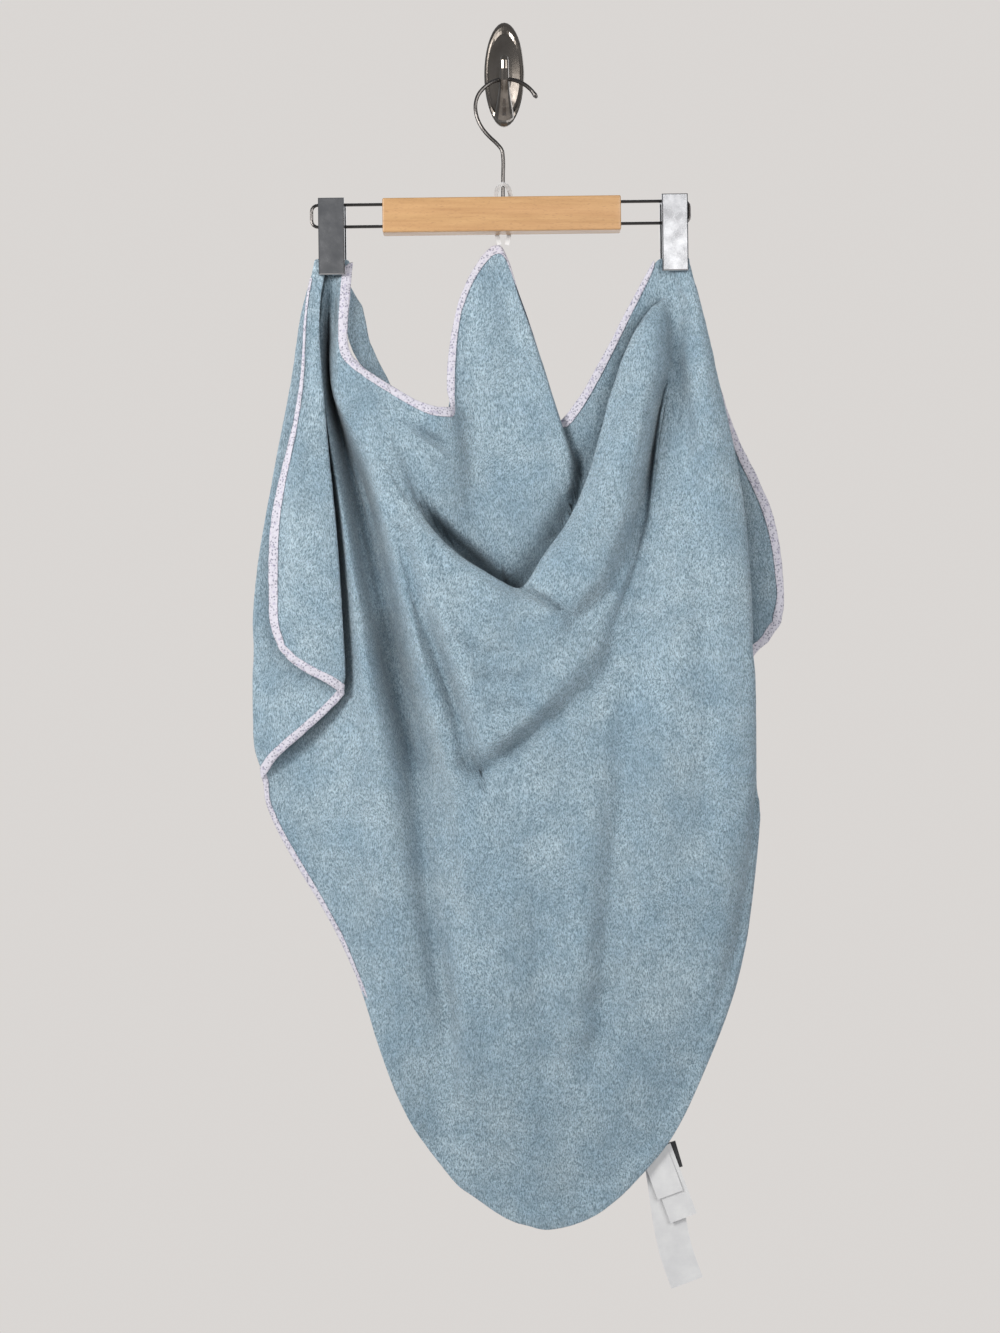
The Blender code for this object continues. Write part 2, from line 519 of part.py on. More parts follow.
def jaw_solid(name, middle, top, facing, finish):
    """One jaw: a chromed tray whose rim turns towards the cloth. It faces front (1) or back (-1)."""
    half = CLIP_WIDTH / 2
    rim_out, skin_out = HANGER_OUT + facing * GRIP, HANGER_OUT + facing * (GRIP + LIP)
    floor_out = skin_out - facing * CLIP_SHEET
    outer = [(middle - half, top), (middle + half, top), (middle + half, top + CLIP_HEIGHT),
             (middle - half, top + CLIP_HEIGHT)]
    inset = CLIP_SHEET
    inner = [(middle - half + inset, top + inset), (middle + half - inset, top + inset),
             (middle + half - inset, top + CLIP_HEIGHT - inset), (middle - half + inset, top + CLIP_HEIGHT - inset)]
    soft = 1.0
    face = [(a + math.copysign(soft, middle - a), d + math.copysign(soft, top + CLIP_HEIGHT / 2 - d))
            for a, d in outer]
    rings = [[(a, d, skin_out) for a, d in face],
             [(a, d, skin_out - facing * soft) for a, d in outer],
             [(a, d, rim_out) for a, d in outer],
             [(a, d, rim_out) for a, d in inner],
             [(a, d, floor_out) for a, d in inner]]
    points = [p for ring in rings for p in ring]
    faces = [(3, 2, 1, 0)] if facing > 0 else [(0, 1, 2, 3)]
    for ring in range(len(rings) - 1):
        for s in range(4):
            a, b = ring * 4 + s, ring * 4 + (s + 1) % 4
            quad = (a, b, b + 4, a + 4)
            faces.append(quad if facing > 0 else quad[::-1])
    last = (len(rings) - 1) * 4
    faces.append((last, last + 1, last + 2, last + 3) if facing > 0 else (last + 3, last + 2, last + 1, last))
    return add_solid(name, points, faces, finish)


def spring_solid(name, middle, crown, finish):
    """A bent leaf spring over the upper wire, pressing both jaws apart at their tops and together at their lips."""
    leg = GRIP + LIP - CLIP_SHEET - SEAM_GAP - SPRING_SHEET / 2
    shoulder = 4.0
    route = [(middle, crown + SPRING_DROP, HANGER_OUT + leg), (middle, crown + SPRING_DROP / 2, HANGER_OUT + leg),
             (middle, crown + shoulder, HANGER_OUT + leg), (middle, crown + 1.2, HANGER_OUT + leg - 2.6),
             (middle, crown, HANGER_OUT + 4.0), (middle, crown, HANGER_OUT - 4.0),
             (middle, crown + 1.2, HANGER_OUT - leg + 2.6), (middle, crown + shoulder, HANGER_OUT - leg),
             (middle, crown + SPRING_DROP / 2, HANGER_OUT - leg), (middle, crown + SPRING_DROP, HANGER_OUT - leg)]
    section = strip_section(SPRING_WIDTH, SPRING_SHEET)
    return swept_solid(name, route, lambda k: section, finish)


def wire_route(bar_end, far_end):
    """A wire that leaves the bar, turns down at its far end and comes back to the bar."""
    way = math.copysign(1.0, far_end - bar_end)
    upper, lower = WIRE_DROPS
    corners = [(far_end - way * WIRE_CORNER, upper + WIRE_CORNER), (far_end - way * WIRE_CORNER, lower - WIRE_CORNER)]
    route = [(bar_end, upper), ((bar_end + corners[0][0]) / 2, upper)]
    for (across, drop), start in zip(corners, (-90, 0)):
        for step in range(5):
            turn = math.radians(start + step * 22.5)
            route.append((across + way * WIRE_CORNER * math.cos(turn), drop + WIRE_CORNER * math.sin(turn)))
    route += [((bar_end + corners[0][0]) / 2, lower), (bar_end, lower)]
    return [(a, d, HANGER_OUT) for a, d in route]


def tilt(things):
    """Turn the bar, the wires and the clips a little about the bar's middle, as they hang in the photograph."""
    middle_x, middle_z = BAR_MIDDLE * MM, -(BAR_TOP + BAR_HEIGHT / 2) * MM
    for thing in things:
        for vertex in thing.data.vertices:
            across, up = vertex.co.x - middle_x, vertex.co.z - middle_z
            vertex.co.x = middle_x + across * math.cos(HANGER_TILT) - up * math.sin(HANGER_TILT)
            vertex.co.z = middle_z + across * math.sin(HANGER_TILT) + up * math.cos(HANGER_TILT)


def make_hanger(beech, chrome):
    left_end, right_end = BAR_MIDDLE - BAR_LENGTH / 2, BAR_MIDDLE + BAR_LENGTH / 2
    low = (left_end, BAR_TOP, HANGER_OUT - BAR_DEPTH / 2)
    high = (right_end, BAR_TOP + BAR_HEIGHT, HANGER_OUT + BAR_DEPTH / 2)
    things = [box_solid("hanger_bar", low, high, beech, BAR_EDGE)]
    wire = ring_section(WIRE / 2, WIRE / 2, 8)
    for side, bar_end, far_end in (("left", left_end - SEAM_GAP, WIRE_ENDS[0]),
                                   ("right", right_end + SEAM_GAP, WIRE_ENDS[1])):
        route = wire_route(bar_end, far_end)
        things.append(swept_solid(f"hanger_wire_{side}", route, lambda k: wire, chrome, (0.0, 0.0, 1.0)))
        middle = CLIP_MIDDLES[side]
        crown = WIRE_DROPS[0] - WIRE / 2 - SEAM_GAP - SPRING_SHEET / 2
        things.append(spring_solid(f"clip_{side}_spring", middle, crown, chrome))
        for face, facing in (("front", 1), ("back", -1)):
            things.append(jaw_solid(f"clip_{side}_{face}", middle, CLIP_TOP, facing, chrome))
    route = rounded_route([(a, d, HANGER_OUT) for a, d in HOOK_ROUTE], 61)
    hook = ring_section(HOOK_WIRE / 2, HOOK_WIRE / 2, 10)
    ball_radii = [HOOK_BALL * v for v in (0.45, 0.95, 0.8)]
    ball = {k: ring_section(r, r, 10) for k, r in enumerate(ball_radii)}
    swept_solid("hanger_hook", route, lambda k: ball.get(k, hook), chrome, (0.0, 0.0, 1.0))
    tilt(things)


def make_wall_hook(nickel):
    points, faces = [], []
    for share, out in PLATE_RINGS:
        for s in range(PLATE_SIDES):
            turn = 2 * math.pi * s / PLATE_SIDES
            points.append((PLATE_HALF_WIDTH * share * math.cos(turn), PLATE_HALF_HEIGHT * share * math.sin(turn), out))
    for ring in range(len(PLATE_RINGS) - 1):
        for s in range(PLATE_SIDES):
            a, b = ring * PLATE_SIDES + s, ring * PLATE_SIDES + (s + 1) % PLATE_SIDES
            faces.append((a, a + PLATE_SIDES, b + PLATE_SIDES, b))
    last = (len(PLATE_RINGS) - 1) * PLATE_SIDES
    faces.append(tuple(range(PLATE_SIDES)))
    faces.append(tuple(last + s for s in reversed(range(PLATE_SIDES))))
    add_solid("wall_plate", points, faces, nickel)
    route = [(0.0, drop, out) for drop, out, _, _ in PRONG_ROUTE]
    sections = [ring_section(w, d, PRONG_SIDES) for _, _, w, d in PRONG_ROUTE]
    swept_solid("wall_prong", route, lambda k: sections[k], nickel)


def main():
    clear_scene()
    terry = material("blue terry", (0.36, 0.52, 0.56), 0.95)
    print_cotton = material("printed cotton", (0.78, 0.76, 0.81), 0.85)
    white_tape = material("white tape", (0.86, 0.86, 0.86), 0.7)
    black_tape = material("black tape", (0.02, 0.02, 0.02), 0.7)
    beech = material("beech", (0.72, 0.44, 0.22), 0.45)
    chrome = material("chrome", (0.75, 0.75, 0.76), 0.15, 1.0)
    nickel = material("polished nickel", (0.45, 0.42, 0.39), 0.2, 1.0)
    make_towel(terry, print_cotton)
    make_labels(white_tape, black_tape)
    make_loop(white_tape)
    make_hanger(beech, chrome)
    make_wall_hook(nickel)


main()
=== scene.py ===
# %% [markdown]
# # A hooded bath towel on a clip hanger
# A square of terry cloth hangs by its hood corner from a clip hanger, and the hanger hangs on an oval wall
# hook. The solids give every piece its place and its large folds. This file dresses them: it rounds the
# cloth, presses the smaller creases into it and gives each piece a finish.

# %% Load the frame
import math

import bmesh
import bpy
import numpy as np
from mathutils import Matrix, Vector, noise
from mathutils.bvhtree import BVHTree


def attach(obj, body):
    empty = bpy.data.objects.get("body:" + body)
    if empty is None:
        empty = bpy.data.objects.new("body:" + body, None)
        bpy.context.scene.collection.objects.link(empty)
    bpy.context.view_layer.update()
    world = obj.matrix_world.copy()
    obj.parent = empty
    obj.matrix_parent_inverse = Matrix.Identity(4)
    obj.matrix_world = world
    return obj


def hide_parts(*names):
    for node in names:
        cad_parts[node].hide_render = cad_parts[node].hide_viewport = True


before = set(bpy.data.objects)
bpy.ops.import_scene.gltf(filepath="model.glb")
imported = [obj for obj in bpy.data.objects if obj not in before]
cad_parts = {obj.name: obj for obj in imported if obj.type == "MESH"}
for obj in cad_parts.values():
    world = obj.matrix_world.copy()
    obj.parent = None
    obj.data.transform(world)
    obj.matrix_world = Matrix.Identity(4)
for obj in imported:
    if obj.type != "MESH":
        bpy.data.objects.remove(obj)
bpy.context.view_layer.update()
MM = 0.001
print("loaded", len(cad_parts), "nodes")

# %% [markdown]
# ## Camera
# The photograph looks straight at the wall from about 1.6 m, at the height of the towel's middle. A place
# on the object is written as (across, drop, out) in millimetres: right of the wall hook's middle, below it,
# and out from the wall. One helper turns such a place into Blender's metres.

# %% Camera
CAMERA_PLACE = (-4, 563, 1600)
FRAME_HEIGHT = 24.0
LENS = 30.24
LEVEL = math.radians(90)


def place(across, drop, out):
    return Vector((across * MM, -out * MM, -drop * MM))


camera_data = bpy.data.cameras.new("photo camera")
camera_data.sensor_fit = "VERTICAL"
camera_data.sensor_height = FRAME_HEIGHT
camera_data.lens = LENS
camera = bpy.data.objects.new("photo camera", camera_data)
camera.location = place(*CAMERA_PLACE)
camera.rotation_euler = (LEVEL, 0, 0)
bpy.context.collection.objects.link(camera)
bpy.context.scene.camera = camera
print("camera at", tuple(round(v, 3) for v in camera.location))

# %% [markdown]
# ## Floor
# A pale floor lies well below the towel, out of the front view, and everything beyond is plain pale paper.
# The real wall is left out, because it would hide the back of the towel in every view from behind. The
# floor glows a little, so that it isn't much darker than the paper.

# %% Floor
FLOOR_DROP = 2600.0
FLOOR_REACH = 3500
FLOOR_COLOUR = (0.78, 0.76, 0.74)
FLOOR_ROUGHNESS = 0.9
FLOOR_GLOW = 0.45
PAPER = (0.70, 0.675, 0.655)

floor_finish = bpy.data.materials.new("pale floor")
floor_finish.use_nodes = True
floor_shader = floor_finish.node_tree.nodes["Principled BSDF"]
floor_shader.inputs["Base Color"].default_value = (*FLOOR_COLOUR, 1)
floor_shader.inputs["Roughness"].default_value = FLOOR_ROUGHNESS
floor_shader.inputs["Emission Color"].default_value = (*PAPER, 1)
floor_shader.inputs["Emission Strength"].default_value = FLOOR_GLOW

corners = [(-FLOOR_REACH, -FLOOR_REACH), (FLOOR_REACH, -FLOOR_REACH),
           (FLOOR_REACH, FLOOR_REACH), (-FLOOR_REACH, FLOOR_REACH)]
floor_mesh = bpy.data.meshes.new("floor")
floor_mesh.from_pydata([place(across, FLOOR_DROP, out) for across, out in corners], [], [(0, 1, 2, 3)])
floor_mesh.materials.append(floor_finish)
floor = bpy.data.objects.new("floor", floor_mesh)
bpy.context.collection.objects.link(floor)
print("floor at", FLOOR_DROP, "mm below the wall hook")

# %% [markdown]
# ## Lights
# The daylight of the photograph comes from the left and above, so an area light stands there. A wider and
# weaker one on the right and one behind keep the shaded sides open. A small lamp stands where the right
# clip reflects it, because that clip is the bright one in the photograph. Each lamp is a row of a table.

# %% Lights
DAYLIGHT = (1.0, 0.99, 0.975)
# name: where it stands, where it points, width in metres, watts, colour
LAMPS = {
    "window": ((-1050, 60, 1150), (0, 420, 30), 0.5, 21, DAYLIGHT),
    "room": ((1000, 0, 1450), (0, 420, 30), 1.1, 13, DAYLIGHT),
    "lamp in the right clip": ((420, -160, 1500), (160, 190, 40), 0.42, 1.3, (1, 1, 1)),
    "behind": ((500, 150, -1900), (0, 520, 20), 2.4, 22, (0.97, 0.98, 1.0)),
}


def soft_light(name, at, towards, width, watts, colour):
    data = bpy.data.lights.new(name, "AREA")
    data.size = width
    data.energy = watts
    data.color = colour
    lamp = bpy.data.objects.new(name, data)
    lamp.location = place(*at)
    lamp.rotation_euler = (place(*towards) - place(*at)).to_track_quat("-Z", "Y").to_euler()
    lamp.visible_camera = False
    bpy.context.collection.objects.link(lamp)


for lamp_name, lamp_row in LAMPS.items():
    soft_light(lamp_name, *lamp_row)
print(len(LAMPS), "lights")

# %% [markdown]
# ## The pale room
# A weak sky fills the shade from all sides. What is seen beyond the towel is a brighter paper, which only
# shows and gives no light, so that it can be as bright as the photograph's wall without washing out the
# folds.

# %% The pale room
SKY_COLOUR = (0.93, 0.96, 1.0)
SKY_STRENGTH = 0.26

sky = bpy.data.worlds.new("pale room")
sky.use_nodes = True
sky_nodes = sky.node_tree.nodes
room_light = sky_nodes["Background"]
room_light.inputs["Color"].default_value = (*SKY_COLOUR, 1)
room_light.inputs["Strength"].default_value = SKY_STRENGTH
paper = sky_nodes.new("ShaderNodeBackground")
paper.inputs["Color"].default_value = (*PAPER, 1)
path = sky_nodes.new("ShaderNodeLightPath")
seen = sky_nodes.new("ShaderNodeMixShader")
sky.node_tree.links.new(path.outputs["Is Camera Ray"], seen.inputs[0])
sky.node_tree.links.new(room_light.outputs[0], seen.inputs[1])
sky.node_tree.links.new(paper.outputs[0], seen.inputs[2])
sky.node_tree.links.new(seen.outputs[0], sky_nodes["World Output"].inputs[0])
bpy.context.scene.world = sky
bpy.context.scene.view_settings.view_transform = "Standard"
print("sky strength", SKY_STRENGTH)

# %% [markdown]
# ## A small kit for finishes
# Every finish here is built from nodes: noise and cells in the object's own coordinates, mixed into a
# colour and pressed into the surface as bump. A helper adds a node and joins its inputs, so that each
# finish reads as a short list of what it is made of. Values that are the same all over stay on the shader's
# own sockets.

# %% Nodes and a plain finish


def add_node(tree, kind, settings=None, **inputs):
    """Add a node. A setting is a property of the node, and an input is a value or another node's output.

    An input goes by its name, or by i and its number where names repeat.
    """
    node = tree.nodes.new(kind)
    for key, value in (settings or {}).items():
        setattr(node, key, value)
    for key, value in inputs.items():
        socket = node.inputs[int(key[1:])] if key[0] == "i" and key[1:].isdigit() else node.inputs[key]
        if isinstance(value, bpy.types.NodeSocket):
            tree.links.new(value, socket)
        else:
            socket.default_value = value
    return node


def new_finish(name, roughness, metallic=0.0, sheen=0.0, sheen_roughness=0.5, coat=0.0):
    finish = bpy.data.materials.new(name)
    finish.use_nodes = True
    shader = finish.node_tree.nodes["Principled BSDF"]
    shader.inputs["Roughness"].default_value = roughness
    shader.inputs["Metallic"].default_value = metallic
    shader.inputs["Sheen Weight"].default_value = sheen
    shader.inputs["Sheen Roughness"].default_value = sheen_roughness
    shader.inputs["Coat Weight"].default_value = coat
    where = finish.node_tree.nodes.new("ShaderNodeTexCoord").outputs["Object"]
    return finish, finish.node_tree, shader, where


print("nodes and plain finish ready")

# %% [markdown]
# ## Patterns, colours and relief
# Six short helpers cover all that the finishes need: noise, cells, places stretched along one direction, a
# blend of two colours, a range of values stretched to another, and bump. Pattern sizes are given as
# features to the metre, because the coordinates are in metres.

# %% Pattern helpers


def noise_at(tree, where, per_metre, detail=3.0, roughness=0.6):
    node = add_node(tree, "ShaderNodeTexNoise", Vector=where, Scale=per_metre, Detail=detail,
                    Roughness=roughness)
    return node.outputs["Fac"]


def cells_at(tree, where, per_metre):
    return add_node(tree, "ShaderNodeTexVoronoi", Vector=where, Scale=per_metre).outputs["Distance"]


def stretched(tree, where, scale, turn=0.0):
    """Places scaled along each axis, after a turn in the plane of the wall."""
    node = add_node(tree, "ShaderNodeMapping", Vector=where, Rotation=(0, turn, 0), Scale=scale)
    return node.outputs[0]


def blend_colours(tree, share, first, second):
    node = add_node(tree, "ShaderNodeMix", {"data_type": "RGBA"}, i0=share)
    for socket, colour in ((node.inputs[6], first), (node.inputs[7], second)):
        if isinstance(colour, bpy.types.NodeSocket):
            tree.links.new(colour, socket)
        else:
            socket.default_value = (*colour, 1)
    return node.outputs[2]


def between(tree, value, low, high, to_low=0.0, to_high=1.0):
    """Stretch a range of values to another one, and stop at its ends."""
    node = add_node(tree, "ShaderNodeMapRange", i0=value, i1=low, i2=high, i3=to_low, i4=to_high)
    return node.outputs[0]


def raised(tree, height, distance, strength=1.0, under=None):
    """Bump from a height, on top of another bump where one is given."""
    node = add_node(tree, "ShaderNodeBump", Strength=strength, Distance=distance, Height=height)
    if under is not None:
        tree.links.new(under, node.inputs["Normal"])
    return node.outputs["Normal"]


print("pattern helpers ready")

# %% [markdown]
# ## Terry
# Terry is a ground cloth with a loop of yarn pulled up every millimetre or so. From arm's length the loops
# read as short streaks that all lean one way, and brushing the hand over them leaves lighter and darker
# patches. The streaks are noise at loop size, stretched along the lay of the pile and bent by a slow drift.
# They darken the ground between the loops and go in as bump. A little sheen lightens the cloth where it
# turns away, as loose fibres do. Shade is also painted into the colour: where the cloth's own folds close
# over a point, ambient occlusion sinks the colour towards a painted deep shade.

# %% Terry finish
# painted shade: the colour a point takes where the cloth's own folds close over it
TERRY_PAINTED_SHADE = (0.030, 0.055, 0.075)      # inside a closed fold
TERRY_DARK = (0.140, 0.225, 0.285)      # the ground between the loops
TERRY_MID = (0.455, 0.625, 0.755)
TERRY_LIGHT = (0.650, 0.810, 0.910)     # brushed the other way
DRIFT_PER_METRE = 11.0                  # how slowly the lay of the pile wanders
DRIFT_SHARE = 0.03
LAY_TURN = math.radians(28)
STREAK_STRETCH = (1.0, 1.0, 0.38)
LOOPS_PER_METRE = 1050
TUFTS_PER_METRE = 170.0
PATCHES_PER_METRE = 24.0
# how near the cloth must come for shade to be painted onto a point
PAINTED_SHADE_REACH = 0.045                       # cloth nearer than this, in metres, closes over a point
LOOP_RELIEF = 0.0020
TUFT_RELIEF = 0.0045


def make_terry():
    finish, tree, shader, where = new_finish("blue_terry", 0.95, sheen=0.22, sheen_roughness=0.45)
    drift = add_node(tree, "ShaderNodeTexNoise", Vector=where, Scale=DRIFT_PER_METRE, Detail=1.0)
    combed = add_node(tree, "ShaderNodeMix", {"data_type": "VECTOR"}, i0=DRIFT_SHARE)
    tree.links.new(where, combed.inputs[4])
    tree.links.new(drift.outputs["Color"], combed.inputs[5])
    laid = stretched(tree, combed.outputs[1], STREAK_STRETCH, LAY_TURN)
    loops = noise_at(tree, laid, LOOPS_PER_METRE, 3.0, 0.75)
    tufts = noise_at(tree, where, TUFTS_PER_METRE, 4.0, 0.7)
    patches = noise_at(tree, where, PATCHES_PER_METRE, 4.0, 0.6)
    brushed = blend_colours(tree, between(tree, patches, 0.35, 0.68), TERRY_MID, TERRY_LIGHT)
    tufted = blend_colours(tree, between(tree, tufts, 0.30, 0.55, 0.62, 1.0), TERRY_DARK, brushed)
    looped = blend_colours(tree, between(tree, loops, 0.40, 0.58, 0.12, 1.0), TERRY_DARK, tufted)
    # painted shade: ambient occlusion of the cloth's own folds darkens the colour
    fold_occlusion = add_node(tree, "ShaderNodeAmbientOcclusion", {"samples": 6, "only_local": True},
                        Distance=PAINTED_SHADE_REACH)
    unshaded_share = between(tree, fold_occlusion.outputs["AO"], 0.20, 0.82)
    tree.links.new(blend_colours(tree, unshaded_share, TERRY_PAINTED_SHADE, looped), shader.inputs["Base Color"])
    nap = raised(tree, tufts, TUFT_RELIEF, 0.8)
    tree.links.new(raised(tree, loops, LOOP_RELIEF, 1.0, nap), shader.inputs["Normal"])
    return finish


terry = make_terry()
print("terry:", LOOPS_PER_METRE, "loops to the metre")

# %% [markdown]
# ## Printed binding
# The binding is a thin cotton tape with a small grey and lilac print on white. A generic scatter of flecks
# stands for the print: cells at two sizes, cut off at a short distance from their middles, with noise to
# fray them. Fine threads and the pucker of the stitching go in as bump.

# %% Binding finish
TAPE_WHITE = (0.62, 0.60, 0.67)
FLECK_GREY = (0.20, 0.20, 0.26)
FLECK_LILAC = (0.40, 0.37, 0.50)
SMALL_FLECKS_PER_METRE = 430.0
LARGE_FLECKS_PER_METRE = 210.0
FRAY_PER_METRE = 900.0
THREADS_PER_METRE = 2200.0
PUCKERS_PER_METRE = 200.0


def make_print():
    finish, tree, shader, where = new_finish("printed_cotton", 0.82, sheen=0.08)
    fray = noise_at(tree, where, FRAY_PER_METRE, 2.0)
    small = cells_at(tree, where, SMALL_FLECKS_PER_METRE)
    large = cells_at(tree, where, LARGE_FLECKS_PER_METRE)
    frayed = add_node(tree, "ShaderNodeMath", {"operation": "MULTIPLY_ADD"}, i0=fray, i1=0.5, i2=small)
    lilac_share = between(tree, large, 0.20, 0.34, 0.6, 0.0)
    grey_share = between(tree, frayed.outputs[0], 0.46, 0.68, 0.85, 0.0)
    ground = blend_colours(tree, lilac_share, TAPE_WHITE, FLECK_LILAC)
    tree.links.new(blend_colours(tree, grey_share, ground, FLECK_GREY), shader.inputs["Base Color"])
    pucker = raised(tree, noise_at(tree, where, PUCKERS_PER_METRE, 2.0), 0.0028, 0.7)
    threads = raised(tree, noise_at(tree, where, THREADS_PER_METRE, 1.0), 0.0003, 0.5, pucker)
    tree.links.new(threads, shader.inputs["Normal"])
    return finish


print_cotton = make_print()
print("printed cotton:", SMALL_FLECKS_PER_METRE, "small flecks to the metre")

# %% [markdown]
# ## Woven tape
# The labels and the hanging loop are smooth woven tape. Fine slanted ribs go in as bump, and a slow cloud
# in the colour keeps the bare labels from looking like paper. Two tapes come from one function, a white and
# a black one.

# %% Tape finish
RIBS_PER_METRE = 500.0
RIB_RELIEF = 0.00025
CLOUD_PER_METRE = 60.0


def make_tape(name, colour, shade):
    finish, tree, shader, where = new_finish(name, 0.6, sheen=0.1)
    ribs = add_node(tree, "ShaderNodeTexWave", {"bands_direction": "DIAGONAL"}, Vector=where,
                    Scale=RIBS_PER_METRE, Distortion=0.6)
    cloud = between(tree, noise_at(tree, where, CLOUD_PER_METRE, 3.0), 0.3, 0.7)
    tree.links.new(blend_colours(tree, cloud, shade, colour), shader.inputs["Base Color"])
    tree.links.new(raised(tree, ribs.outputs["Fac"], RIB_RELIEF, 0.5), shader.inputs["Normal"])
    return finish


white_tape = make_tape("white_tape", (0.80, 0.80, 0.80), (0.70, 0.70, 0.71))
black_tape = make_tape("black_tape", (0.020, 0.020, 0.022), (0.035, 0.035, 0.038))
print("white and black tape ready")

# %% [markdown]
# ## Beech
# The bar is pale beech: long grain that runs along the bar, short dark rays in it, and a thin clear
# lacquer. Grain, rays and slow warmer bands are noise stretched along the bar, and the lacquer is the
# shader's coat.

# %% Beech finish
GRAIN_STRETCH = (0.06, 1.0, 1.0)
RAY_STRETCH = (0.18, 1.0, 1.0)
GRAIN_PER_METRE = 260.0
BANDS_PER_METRE = 60.0
RAYS_PER_METRE = 1300.0
BEECH_DARK = (0.43, 0.235, 0.095)
BEECH_PALE = (0.57, 0.340, 0.155)
BEECH_WARM = (0.60, 0.33, 0.16)
BEECH_RAY = (0.36, 0.19, 0.09)


def make_beech():
    finish, tree, shader, where = new_finish("beech", 0.42, coat=0.35)
    along = stretched(tree, where, GRAIN_STRETCH)
    grain = noise_at(tree, along, GRAIN_PER_METRE, 5.0, 0.62)
    bands = noise_at(tree, along, BANDS_PER_METRE, 2.0)
    rays = noise_at(tree, stretched(tree, where, RAY_STRETCH), RAYS_PER_METRE, 1.0)
    pale = blend_colours(tree, between(tree, grain, 0.32, 0.66), BEECH_DARK, BEECH_PALE)
    warm = blend_colours(tree, between(tree, bands, 0.35, 0.65, 0.0, 0.35), pale, BEECH_WARM)
    marked = blend_colours(tree, between(tree, rays, 0.60, 0.70, 0.0, 0.5), warm, BEECH_RAY)
    tree.links.new(marked, shader.inputs["Base Color"])
    tree.links.new(between(tree, grain, 0.3, 0.7, 0.48, 0.36), shader.inputs["Roughness"])
    tree.links.new(raised(tree, grain, 0.0002, 0.4), shader.inputs["Normal"])
    return finish


beech = make_beech()
print("beech ready")

# %% [markdown]
# ## Steel and nickel
# The clips are brushed steel, the wires and the hook are darker steel, and the wall hook is a warm polished
# nickel. Wiped and handled metal is never even, so a slow cloud changes both its colour and its roughness,
# and faint scratches go in as bump. One function makes all three from their colours and their range of
# roughness.

# %% Metal finishes
WIPES_PER_METRE = 85.0
SCRATCHES_PER_METRE = 700.0
SCRATCH_RELIEF = 0.00004


def make_metal(name, colour, dull, roughness_low, roughness_high):
    finish, tree, shader, where = new_finish(name, 0.2, metallic=1.0)
    cloud = noise_at(tree, where, WIPES_PER_METRE, 4.0)
    scratches = noise_at(tree, where, SCRATCHES_PER_METRE, 3.0)
    wiped = blend_colours(tree, between(tree, cloud, 0.35, 0.7), colour, dull)
    tree.links.new(wiped, shader.inputs["Base Color"])
    tree.links.new(between(tree, cloud, 0.3, 0.7, roughness_low, roughness_high), shader.inputs["Roughness"])
    tree.links.new(raised(tree, scratches, SCRATCH_RELIEF, 0.3), shader.inputs["Normal"])
    return finish


clip_steel = make_metal("brushed_clip_steel", (0.42, 0.42, 0.43), (0.33, 0.33, 0.34), 0.16, 0.30)
dark_steel = make_metal("dark_wire_steel", (0.13, 0.12, 0.115), (0.09, 0.085, 0.08), 0.18, 0.32)
nickel = make_metal("polished_nickel", (0.30, 0.265, 0.235), (0.17, 0.150, 0.130), 0.12, 0.26)
print("clip steel, dark steel and nickel ready")

# %% [markdown]
# ## Rounding the cloth
# The solids of the cloth are thin shells with flat faces. A copy of each has its pairs of triangles joined
# back into four-sided faces and is then subdivided, which rounds the folds and the edge. The result is a
# plain mesh, so that creases can be pressed into its points. A cloth simulation could make folds too, but
# it would move them away from the ones that the solids already have.

# %% Rounded copies
ROUNDING_LEVELS = 2
SAME_POINT = 1e-6
FLAT_ENOUGH = math.radians(40)
SQUARE_ENOUGH = math.radians(60)


def rounded_copy(node, name, finish):
    """A smooth copy of a node's mesh, as a new piece."""
    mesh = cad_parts[node].data.copy()
    mesh.transform(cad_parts[node].matrix_world)
    work = bmesh.new()
    work.from_mesh(mesh)
    bmesh.ops.remove_doubles(work, verts=work.verts, dist=SAME_POINT)
    bmesh.ops.join_triangles(work, faces=work.faces, angle_face_threshold=FLAT_ENOUGH,
                             angle_shape_threshold=SQUARE_ENOUGH)
    work.to_mesh(mesh)
    work.free()
    piece = bpy.data.objects.new(name, mesh)
    bpy.context.collection.objects.link(piece)
    smoothing = piece.modifiers.new("rounding", "SUBSURF")
    smoothing.levels = smoothing.render_levels = ROUNDING_LEVELS
    shape = piece.evaluated_get(bpy.context.evaluated_depsgraph_get())
    rounded = bpy.data.meshes.new_from_object(shape)
    piece.modifiers.clear()
    piece.data = rounded
    rounded.materials.clear()
    rounded.materials.append(finish)
    rounded.shade_smooth()
    return piece


print("rounding:", ROUNDING_LEVELS, "levels")

# %% [markdown]
# ## Moving the cloth's points
# All shaping below works on the points of a piece as one table of (across, drop, out) in millimetres, the
# same way as places are written everywhere here. Reading and writing the whole table at once is much
# quicker than going from point to point.

# %% Points, normals and noise


def as_places(flat):
    """Turn Blender's x, y, z into (across, drop, out) and keep the unit."""
    x, y, z = flat.reshape(-1, 3).T
    return np.stack([x, -z, -y], axis=1)


def points_of(piece):
    """A piece's points as (across, drop, out) in millimetres."""
    flat = np.empty(len(piece.data.vertices) * 3)
    piece.data.vertices.foreach_get("co", flat)
    return as_places(flat / MM)


def normals_of(piece):
    flat = np.empty(len(piece.data.vertices) * 3)
    piece.data.vertices.foreach_get("normal", flat)
    return as_places(flat)


def put_points(piece, points):
    across, drop, out = points.T
    piece.data.vertices.foreach_set("co", (np.stack([across, -out, -drop], axis=1) * MM).ravel())
    piece.data.update()


def noise_field(points, scale, seed=0.0):
    """Smooth noise from about -1 to 1, with features about that many millimetres apart."""
    return np.array([noise.noise(Vector((a / scale + seed, d / scale, o / scale))) for a, d, o in points])


print("point helpers ready")

